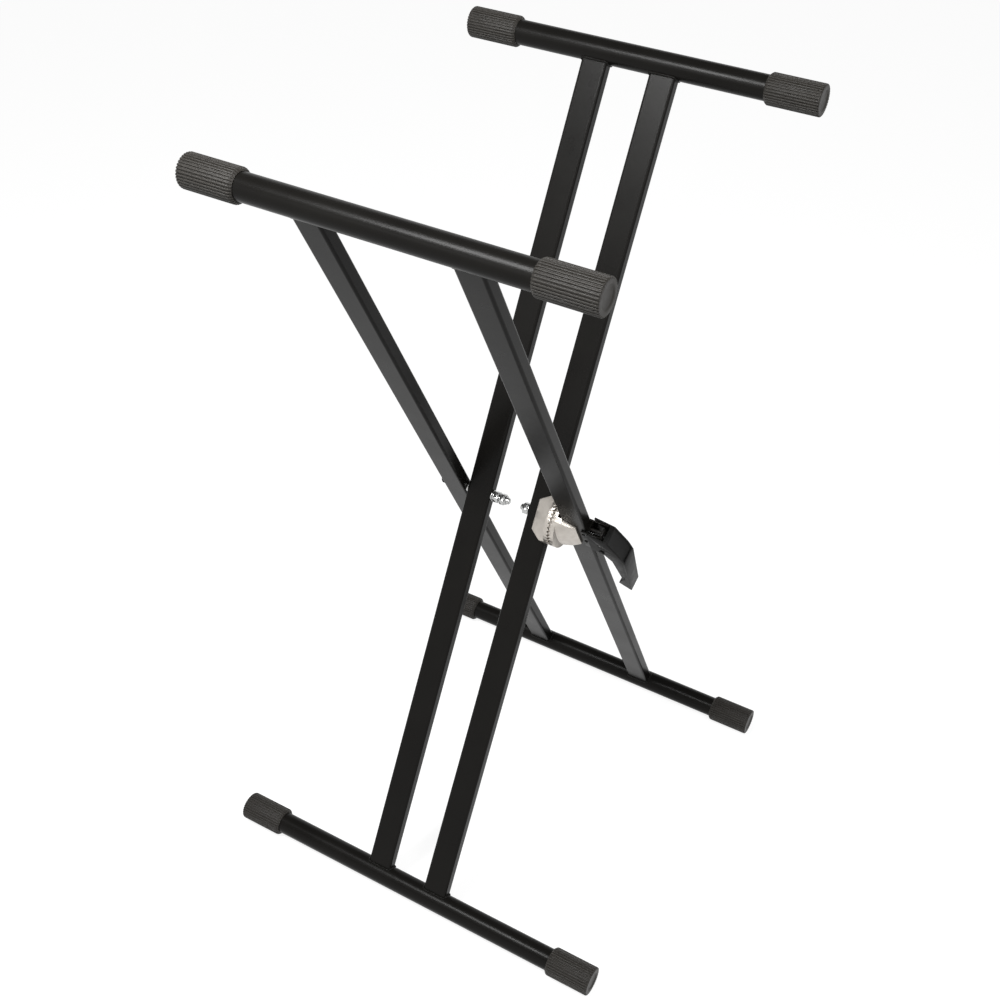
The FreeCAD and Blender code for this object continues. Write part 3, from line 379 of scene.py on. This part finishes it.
@dataclass
class CapKind:
    """One size of ribbed cap, in millimetres.

    Attributes:
        length: Over the whole cap.
        radius: Over the ribs.
        bore: Radius of the hole for the tube.
        ribs: How many ribs go round.
        rib_depth: Depth of the grooves between them.
        end_wall: Thickness of the closed end.
        dish_radius: The dished disc in the end face.
        dish_depth: Its depth.
        mouth: Chamfer at the open end.
        rim: Rounding at the closed end.
        rim_steps: Facets across that rounding.
        across: Places over one rib, from groove through crown to groove, -1 to 1.
        shares: How deep the groove is at those places, 0 to 1.
        join_mm: Points of neighbouring wedges nearer than this become one.
        smooth_deg: Edges that turn by less than this are shaded smooth.
    """

    length: float
    radius: float
    bore: float = 14.4
    ribs: int = 34
    rib_depth: float = 1.5
    end_wall: float = 4.0
    dish_radius: float = 11.0
    dish_depth: float = 1.2
    mouth: float = 2.6
    rim: float = 1.4
    rim_steps: int = 5
    across: tuple[float, ...] = (-1.0, -0.74, -0.64, -0.45, 0.0, 0.45, 0.64, 0.74, 1.0)
    shares: tuple[float, ...] = (1.0, 0.92, 0.28, 0.07, 0.0, 0.07, 0.28, 0.92, 1.0)
    join_mm: float = 0.001
    smooth_deg: float = 40.0

    def rings(self) -> list[tuple[float, float, float]]:
        """The cap's outline from the dish's middle round to the bottom of its bore.

        Returns:
            Depth from the closed end, radius, and how far the rib form shows, 0 to 1.
        """
        side = [(2.0, 0.0, 1.0)]
        quarter, rib_at_edge = 1.571, 0.55
        rim = [(self.rim * (1 - math.cos(a)), -self.rim * (1 - math.sin(a)),
                rib_at_edge + (1 - rib_at_edge) * a / quarter)
               for a in (math.pi / 2 * k / self.rim_steps for k in range(self.rim_steps + 1))]
        mouth = [(self.length - self.mouth - 0.6, 0.0, 1.0),
                 (self.length - self.mouth, -0.25, 1.0),
                 (self.length - self.mouth * 0.45, -self.mouth * 0.55, 0.8),
                 (self.length - 0.25, -self.mouth * 0.94, 0.45),
                 (self.length, -self.mouth, 0.4)]
        outline = [(self.dish_depth, 0.0, 0.0), (self.dish_depth, self.dish_radius - 0.8, 0.0),
                   (self.dish_depth - 0.25, self.dish_radius, 0.0),
                   (0.2, self.dish_radius + 0.9, 0.0), (0.0, self.dish_radius + 1.5, 0.0)]
        outline += [(u, self.radius + drop, rib) for u, drop, rib in rim + side + mouth]
        outline += [(self.length, self.bore, 0.0), (self.end_wall, self.bore, 0.0),
                    (self.end_wall, 0.0, 0.0)]
        return outline

    def wedge(self) -> bpy.types.Mesh:
        """One rib's share of the cap, a wedge from the axis out.

        Returns:
            The wedge's mesh, with the closed end at X 0 and the cap running to minus X.
        """
        half = math.pi / self.ribs
        shape = bmesh.new()
        rows = []
        for depth, radius, rib in self.rings():
            row = []
            for t, share in zip(self.across, self.shares):
                groove = self.rib_depth * rib * share
                r, angle = (radius - groove) * MM, t * half
                row.append(shape.verts.new((-depth * MM, r * math.sin(angle),
                                            r * math.cos(angle))))
            rows.append(row)
        for upper, lower in zip(rows, rows[1:]):
            for k in range(len(self.across) - 1):
                shape.faces.new((upper[k], lower[k], lower[k + 1], upper[k + 1]))
        bmesh.ops.remove_doubles(shape, verts=shape.verts, dist=self.join_mm / 2 * MM)
        mesh = bpy.data.meshes.new("cap_wedge")
        shape.to_mesh(mesh)
        shape.free()
        return mesh


class RingOfRibs:
    """Geometry tree that repeats a wedge round the X axis and joins the copies."""

    def __init__(self, material: bpy.types.Material) -> None:
        """Build the tree.

        Args:
            material: What the tree gives its result.
        """
        self.tree = bpy.data.node_groups.new("ring_of_ribs", "GeometryNodeTree")
        sockets = self.tree.interface
        sockets.new_socket("Geometry", in_out="INPUT", socket_type="NodeSocketGeometry")
        self.count = sockets.new_socket("Ribs", in_out="INPUT", socket_type="NodeSocketInt")
        self.join = sockets.new_socket("Join distance", in_out="INPUT",
                                       socket_type="NodeSocketFloat")
        sockets.new_socket("Geometry", in_out="OUTPUT", socket_type="NodeSocketGeometry")
        tree = self.tree
        given = add_node(tree, "NodeGroupInput")
        points = add_node(tree, "GeometryNodePoints", {"Count": given.outputs["Ribs"]})
        step = add_node(tree, "ShaderNodeMath", {0: math.tau, 1: given.outputs["Ribs"]},
                        operation="DIVIDE")
        index = add_node(tree, "GeometryNodeInputIndex")
        angle = add_node(tree, "ShaderNodeMath",
                         {0: index.outputs["Index"], 1: step.outputs[0]}, operation="MULTIPLY")
        turn = add_node(tree, "ShaderNodeCombineXYZ", {"X": angle.outputs[0]})
        copies = add_node(tree, "GeometryNodeInstanceOnPoints",
                          {"Points": points.outputs[0], "Instance": given.outputs["Geometry"],
                           "Rotation": turn.outputs[0]})
        real = add_node(tree, "GeometryNodeRealizeInstances", {"Geometry": copies.outputs[0]})
        joined = add_node(tree, "GeometryNodeMergeByDistance",
                          {"Geometry": real.outputs[0],
                           "Distance": given.outputs["Join distance"]})
        dressed = add_node(tree, "GeometryNodeSetMaterial",
                           {"Geometry": joined.outputs[0], "Material": material})
        add_node(tree, "NodeGroupOutput", {0: dressed.outputs[0]})

    def apply(self, thing: bpy.types.Object, kind: CapKind) -> None:
        """Hang the tree on an object with its inputs set.

        Args:
            thing: The object that holds one wedge.
            kind: The cap that the wedge is from.
        """
        modifier = thing.modifiers.new("ribs", "NODES")
        modifier.node_group = self.tree
        modifier[self.count.identifier] = kind.ribs
        modifier[self.join.identifier] = kind.join_mm * MM


# ------------------------------------------------------------------ frames


class WeldRipples:
    """Geometry tree that lays overlapping ripples along a seam."""

    def __init__(self, material: bpy.types.Material) -> None:
        """Build the tree.

        Args:
            material: What the tree gives its result.
        """
        self.tree = bpy.data.node_groups.new("weld_ripples", "GeometryNodeTree")
        sockets = self.tree.interface
        sockets.new_socket("Geometry", in_out="INPUT", socket_type="NodeSocketGeometry")
        self.spacing = sockets.new_socket("Spacing", in_out="INPUT",
                                          socket_type="NodeSocketFloat")
        self.radius = sockets.new_socket("Radius", in_out="INPUT",
                                         socket_type="NodeSocketFloat")
        sockets.new_socket("Geometry", in_out="OUTPUT", socket_type="NodeSocketGeometry")
        tree = self.tree
        given = add_node(tree, "NodeGroupInput")
        seam = add_node(tree, "GeometryNodeMeshToCurve", {"Mesh": given.outputs["Geometry"]})
        path = add_node(tree, "GeometryNodeResampleCurve",
                        {"Curve": seam.outputs[0], "Length": given.outputs["Spacing"]},
                        mode="LENGTH")
        along = add_node(tree, "GeometryNodeInputTangent")
        turn = add_node(tree, "FunctionNodeAlignRotationToVector",
                        {"Vector": along.outputs[0]}, axis="Z")
        ripple = add_node(tree, "GeometryNodeMeshUVSphere",
                          {"Segments": 12, "Rings": 7, "Radius": given.outputs["Radius"]})
        wobble = add_node(tree, "FunctionNodeRandomValue",
                          {"Min": (0.86, 0.86, 0.66), "Max": (1.1, 1.1, 0.84), "Seed": 7},
                          data_type="FLOAT_VECTOR")
        copies = add_node(tree, "GeometryNodeInstanceOnPoints",
                          {"Points": path.outputs[0], "Instance": ripple.outputs["Mesh"],
                           "Rotation": turn.outputs[0], "Scale": wobble.outputs[0]})
        real = add_node(tree, "GeometryNodeRealizeInstances", {"Geometry": copies.outputs[0]})
        dressed = add_node(tree, "GeometryNodeSetMaterial",
                           {"Geometry": real.outputs[0], "Material": material})
        add_node(tree, "NodeGroupOutput", {0: dressed.outputs[0]})

    def apply(self, thing: bpy.types.Object, spacing_mm: float, radius_mm: float) -> None:
        """Hang the tree on an object with its inputs set.

        Args:
            thing: The object that holds the seams as edges.
            spacing_mm: From one ripple to the next.
            radius_mm: Size of a ripple.
        """
        modifier = thing.modifiers.new("ripples", "NODES")
        modifier.node_group = self.tree
        modifier[self.spacing.identifier] = spacing_mm * MM
        modifier[self.radius.identifier] = radius_mm * MM


@dataclass
class StandFrame:
    """One of the two welded frames: a pair of legs between a top bar and a foot bar.

    Attributes:
        name: The frame's word in the node names.
        lean: Where it is.
        leg_middles: Leg centres along the bars, millimetres.
        palette: The finishes.
        ribs: The tree that makes the caps.
        ripples: The tree that makes the welds.
        reach: From the pivot line to a bar's axis.
        tube_radius: Of the bars.
        leg_width: Of a leg, along the bars.
        leg_thickness: Of a leg, across them.
        leg_corner: Rounding of the seam at a leg's corners.
        seam_outset: How far the seam lies off the leg.
        ripple_spacing: From one weld ripple to the next.
        ripple_radius: Size of a ripple.
        top_length: Of the top bar over its caps.
        foot_length: Of the foot bar over its caps.
        top_cap: Sizes of the top bar's caps.
        foot_cap: Sizes of the foot bar's caps.
    """

    name: str
    lean: Lean
    leg_middles: tuple[float, float]
    palette: Palette
    ribs: RingOfRibs
    ripples: WeldRipples
    reach: float = 537.0
    tube_radius: float = 14.3
    leg_width: float = 32.5
    leg_thickness: float = 15.6
    leg_corner: float = 3.2
    seam_outset: float = 0.35
    ripple_spacing: float = 1.15
    ripple_radius: float = 1.75
    top_length: float = 441.0
    foot_length: float = 537.0
    top_cap: CapKind = field(default_factory=lambda: CapKind(64.3, 17.8))
    foot_cap: CapKind = field(default_factory=lambda: CapKind(59.6, 18.5))

    @property
    def body(self) -> str:
        """The CAD body that the frame rides on."""
        return self.name + "_frame"

    def build(self) -> None:
        """Dress the bars and legs and make the caps and welds."""
        nodes = frame["nodes"]
        steel = [f"{self.name}_{bar}_tube" for bar in ("top", "foot")]
        steel += [f"{self.name}_leg_{side}" for side in ("left", "right")]
        self.palette.coat(POWDER_COAT, [nodes[node] for node in steel])
        for bar, sign, cap, length in (("top", 1, self.top_cap, self.top_length),
                                       ("foot", -1, self.foot_cap, self.foot_length)):
            for side, hand in (("left", -1), ("right", 1)):
                self.build_cap(f"{self.name}_{bar}_cap_{side}", cap, hand, sign, length)
        self.build_welds()
        LOG.info("%s frame dressed", self.name)

    def build_cap(self, node: str, kind: CapKind, hand: int, sign: int, length: float) -> None:
        """Make one ribbed cap in its place.

        Args:
            node: The CAD cap that it stands for.
            kind: Its sizes.
            hand: 1 at the bar's right end, -1 at its left end.
            sign: 1 on the top bar, -1 on the foot bar.
            length: The bar's length over its caps, millimetres.
        """
        cap = mesh_object("dressed_" + node, kind.wedge())
        self.ribs.apply(cap, kind)
        baked(cap, kind.smooth_deg)
        turn = Matrix.Rotation(0.0 if hand > 0 else math.pi, 4, "Z")
        shift = Matrix.Translation((hand * length / 2 * MM, 0.0, sign * self.reach * MM))
        cap.data.transform(shift @ turn)
        self.lean.settle(cap)
        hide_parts(node)
        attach(cap, self.body)
        LOG.info("%s: %s", cap.name, CAP_RUBBER.name)

    def seam(self, shape: bmesh.types.BMesh, middle: float, sign: int) -> None:
        """Add the line where one leg end meets its bar.

        Args:
            shape: The mesh that collects the seams.
            middle: The leg's centre along the bar, millimetres.
            sign: 1 at the top bar, -1 at the foot bar.
        """
        corner, outset, turns = self.leg_corner, self.seam_outset, 6
        half_x, half_n = self.leg_width / 2 + outset, self.leg_thickness / 2 + outset
        ring = []
        for start, (cx, cn) in enumerate(((1, 1), (-1, 1), (-1, -1), (1, -1))):
            for k in range(turns + 1):
                angle = math.pi / 2 * (start + k / turns)
                x = cx * (half_x - corner) + corner * math.cos(angle)
                n = cn * (half_n - corner) + corner * math.sin(angle)
                s = self.reach - math.sqrt(self.tube_radius ** 2 - n * n) - outset
                ring.append(shape.verts.new(((middle + x) * MM, n * MM, sign * s * MM)))
        for here, following in zip(ring, ring[1:] + ring[:1]):
            shape.edges.new((here, following))

    def build_welds(self) -> None:
        """Make the rippled beads at the four leg ends."""
        shape = bmesh.new()
        for middle in self.leg_middles:
            for sign in (1, -1):
                self.seam(shape, middle, sign)
        mesh = bpy.data.meshes.new(f"{self.name}_seams")
        shape.to_mesh(mesh)
        shape.free()
        node = f"{self.name}_weld_beads"
        welds = mesh_object("dressed_" + node, mesh)
        self.ripples.apply(welds, self.ripple_spacing, self.ripple_radius)
        baked(welds, 60.0)
        self.lean.settle(welds)
        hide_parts(node)
        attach(welds, self.body)
        LOG.info("%s: %s", welds.name, POWDER_COAT.name)


# ------------------------------------------------------------------ pivots, clutch and lever


@dataclass
class PivotHardware:
    """Bolts, nuts, washers, spacers and bushes of both pivots."""

    palette: Palette
    copies: CadCopies
    plated_edge: float = 0.25
    cap_edge: float = 0.5

    def build(self) -> None:
        """Round the edges of the plated parts and dress the hidden ones."""
        for node in ("pivot_bolt_left", "pivot_nut_left", "pivot_locknut_left",
                     "pivot_bolt_right", "pivot_nut_right", "gap_washer_left",
                     "nut_washer_left", "spring_washer_left", "nut_washer_right",
                     "head_washer_right"):
            self.copies.soften(node, "inner_frame", ZINC_PLATE, self.plated_edge)
        self.copies.soften("pivot_bolt_cap", "inner_frame", MOULDED_NYLON, self.cap_edge)
        hidden = ("spacer_left", "spacer_right", "bush_left", "bush_right")
        self.palette.coat(ZINC_PLATE, [frame["nodes"][node] for node in hidden])
        LOG.info("pivot hardware dressed")


@dataclass
class Clutch:
    """The two toothed castings and what draws them apart."""

    palette: Palette
    copies: CadCopies
    cast_edge: float = 0.5
    rod_edge: float = 0.25

    def build(self) -> None:
        """Dress the castings, the pull rods, their yoke and the spring."""
        self.copies.soften("clutch_fixed_half", "inner_frame", SATIN_CASTING, self.cast_edge)
        self.copies.soften("clutch_sliding_half", "clutch_slider", SATIN_CASTING, self.cast_edge)
        for node in ("pull_rod_upper", "pull_rod_lower", "pull_yoke"):
            self.copies.soften(node, "clutch_slider", BLACK_OXIDE, self.rod_edge)
        self.palette.coat(SPRING_WIRE, [frame["nodes"]["clutch_spring"]])
        LOG.info("clutch dressed")


@dataclass
class ReleaseLever:
    """The squeeze lever with its bracket, pin and rivets."""

    palette: Palette
    copies: CadCopies
    moulded_edge: float = 0.8
    pressed_edge: float = 0.4
    small_edge: float = 0.3

    def build(self) -> None:
        """Dress the moulded lever and what holds it to the leg."""
        self.copies.soften("release_lever", "lever", MOULDED_NYLON, self.moulded_edge)
        self.copies.soften("lever_bracket", "outer_frame", POWDER_COAT, self.pressed_edge)
        self.copies.soften("bracket_rivets", "outer_frame", POWDER_COAT, self.small_edge)
        self.copies.soften("lever_pin", "outer_frame", MOULDED_NYLON, self.small_edge)
        LOG.info("release lever dressed")


# ------------------------------------------------------------------ studio


@dataclass(frozen=True)
class Softbox:
    """A rectangular soft lamp, in metres and watts, aimed at the pivot."""

    name: str
    place: tuple[float, float, float]
    size: tuple[float, float]
    watts: float


# High on the right: the white of the castings' upper faces.
KEY = Softbox("key_softbox", (1.2, -1.2, 2.5), (1.1, 0.9), 33.0)
# Near the top bars on the left: the streak along the round tubes.
STREAK = Softbox("front_softbox", (-0.41, -0.87, 1.95), (0.42, 0.42), 25.0)
# Low in front: the grey that the inner legs take towards their tops.
LOW = Softbox("low_softbox", (-0.75, -1.75, 1.6), (0.6, 0.5), 1.6)


@dataclass
class Studio:
    """Pale floor, soft lamps and the photograph's camera, all in metres and degrees.

    Attributes:
        pivot_height: Of the pivot line above the floor.
        camera_from_pivot: The camera's place.
        yaw: The camera's turn to the left.
        pitch: Its tilt, negative downwards.
        roll: Its turn about its own axis.
        focal_px: Focal length in pixels of the photograph.
        centre_px: The pixel on the camera's axis.
        image_px: The photograph's width and height.
        sensor_mm: Width of the sensor.
        fill_level: Light from all round, on matt surfaces.
        backdrop_top: Climb at which the white backdrop starts to fall off.
        ceiling_from: Climb at which it has turned into the ceiling.
        ceiling_level: Brightness of the ceiling.
        floor_glow: What lifts the floor to white, for the eye and in reflections.
        floor_half: Half the floor's width.
        floor_paint: The floor's own colour, which carries the shadow, sRGB.
    """

    pivot_height: float
    camera_from_pivot: tuple[float, float, float] = (0.626014, -1.11845, 1.003667)
    yaw: float = 28.13
    pitch: float = -38.75
    roll: float = 2.37
    focal_px: float = 1328.165
    centre_px: tuple[float, float] = (537.026, 521.304)
    image_px: int = 1000
    sensor_mm: float = 36.0
    fill_level: float = 0.4
    backdrop_top: float = 0.3
    ceiling_from: float = 0.62
    ceiling_level: float = 0.1
    floor_glow: float = 0.84
    floor_half: float = 12.0
    floor_paint: str = "#8c8c8c"

    def place_camera(self) -> None:
        """Stand the camera where the photograph was taken from."""
        yaw, pitch, roll = (math.radians(a) for a in (self.yaw, self.pitch, self.roll))
        ahead = Vector((-math.sin(yaw) * math.cos(pitch), math.cos(yaw) * math.cos(pitch),
                        math.sin(pitch)))
        right = Vector((math.cos(yaw), math.sin(yaw), 0.0))
        up = right.cross(ahead)
        across = right * math.cos(roll) + up * math.sin(roll)
        above = up * math.cos(roll) - right * math.sin(roll)
        lens = bpy.data.cameras.new("camera")
        lens.sensor_width = self.sensor_mm
        lens.lens = self.sensor_mm * self.focal_px / self.image_px
        lens.shift_x = 0.5 - self.centre_px[0] / self.image_px
        lens.shift_y = self.centre_px[1] / self.image_px - 0.5
        camera = bpy.data.objects.new("camera", lens)
        bpy.context.scene.collection.objects.link(camera)
        place = Matrix((across, above, -ahead)).transposed().to_4x4()
        place.translation = Vector(self.camera_from_pivot) + Vector((0, 0, self.pivot_height))
        camera.matrix_world = place
        bpy.context.scene.camera = camera

    def light_world(self) -> None:
        """Even fill light, behind which a white backdrop rises to a dark ceiling."""
        world = bpy.data.worlds.new("studio")
        bpy.context.scene.world = world
        world.use_nodes = True
        tree = world.node_tree
        tree.nodes.clear()
        ray = add_node(tree, "ShaderNodeLightPath")
        seen = add_node(tree, "ShaderNodeMath", {0: ray.outputs["Is Camera Ray"],
                                                 1: ray.outputs["Is Transmission Ray"]},
                        operation="MAXIMUM")
        shown = add_node(tree, "ShaderNodeMath", {0: seen.outputs[0],
                                                  1: ray.outputs["Is Glossy Ray"]},
                         operation="MAXIMUM")
        way = add_node(tree, "ShaderNodeTexCoord").outputs["Generated"]
        climb = add_node(tree, "ShaderNodeSeparateXYZ", {"Vector": way}).outputs["Z"]
        backdrop = add_node(tree, "ShaderNodeMapRange",
                            {"Value": climb, "From Min": self.backdrop_top,
                             "From Max": self.ceiling_from, "To Min": 1.0,
                             "To Max": self.ceiling_level},
                            interpolation_type="SMOOTHSTEP")
        level = add_node(tree, "ShaderNodeMix",
                         {"Factor": shown.outputs[0], "A": self.fill_level,
                          "B": backdrop.outputs["Result"]})
        light = add_node(tree, "ShaderNodeBackground", {"Color": (1.0, 1.0, 1.0, 1.0),
                                                        "Strength": level.outputs["Result"]})
        add_node(tree, "ShaderNodeOutputWorld", {"Surface": light.outputs[0]})

    def lay_floor(self) -> None:
        """A wide pale floor that glows white and keeps the object's soft shadow."""
        half = self.floor_half
        mesh = bpy.data.meshes.new("floor")
        corners = [(-half, -half, 0.0), (half, -half, 0.0), (half, half, 0.0), (-half, half, 0.0)]
        mesh.from_pydata(corners, [], [(0, 1, 2, 3)])
        floor = mesh_object("floor", mesh)
        material = bpy.data.materials.new("pale_studio_floor")
        material.use_nodes = True
        tree = material.node_tree
        tree.nodes.clear()
        ray = add_node(tree, "ShaderNodeLightPath")
        shown = add_node(tree, "ShaderNodeMath", {0: ray.outputs["Is Camera Ray"],
                                                  1: ray.outputs["Is Glossy Ray"]},
                         operation="MAXIMUM")
        lift = add_node(tree, "ShaderNodeMath", {0: shown.outputs[0], 1: self.floor_glow},
                        operation="MULTIPLY")
        paint = add_node(tree, "ShaderNodeBsdfDiffuse", {"Color": linear(self.floor_paint)})
        glow = add_node(tree, "ShaderNodeEmission", {"Strength": lift.outputs[0]})
        both = add_node(tree, "ShaderNodeAddShader", {0: paint.outputs[0], 1: glow.outputs[0]})
        add_node(tree, "ShaderNodeOutputMaterial", {"Surface": both.outputs[0]})
        mesh.materials.append(material)

    def hang(self, softbox: Softbox) -> None:
        """Hang one soft lamp.

        Args:
            softbox: The lamp.
        """
        lamp = bpy.data.lights.new(softbox.name, "AREA")
        lamp.shape = "RECTANGLE"
        lamp.size, lamp.size_y = softbox.size
        lamp.energy = softbox.watts
        thing = bpy.data.objects.new(softbox.name, lamp)
        bpy.context.scene.collection.objects.link(thing)
        aim = Vector((0.0, 0.0, self.pivot_height)) - Vector(softbox.place)
        turn = aim.to_track_quat("-Z", "Y").to_matrix().to_4x4()
        thing.matrix_world = Matrix.Translation(softbox.place) @ turn

    def build(self) -> None:
        """Set the camera, the floor and the lamps."""
        self.place_camera()
        self.light_world()
        self.lay_floor()
        for softbox in (KEY, STREAK, LOW):
            self.hang(softbox)
        bpy.context.scene.view_settings.view_transform = "Standard"
        LOG.info("studio set")


def main() -> None:
    """Build the studio, then dress each sub-assembly in order."""
    logging.basicConfig(level=logging.INFO, format="%(name)s: %(message)s")
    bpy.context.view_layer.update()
    hinge = next(j for j in frame["record"]["behaviour"]["joints"] if j["name"] == "fold")
    height = hinge["pos_m"][2]
    Studio(height).build()
    palette = Palette()
    copies = CadCopies(palette)
    ribs = RingOfRibs(palette.get(CAP_RUBBER))
    ripples = WeldRipples(palette.get(POWDER_COAT))
    StandFrame("inner", Lean(-LEAN_DEG, height), INNER_LEG_MIDDLES, palette, ribs,
               ripples).build()
    StandFrame("outer", Lean(LEAN_DEG, height), OUTER_LEG_MIDDLES, palette, ribs,
               ripples).build()
    PivotHardware(palette, copies).build()
    Clutch(palette, copies).build()
    ReleaseLever(palette, copies).build()


if __name__ == "__main__":
    main()
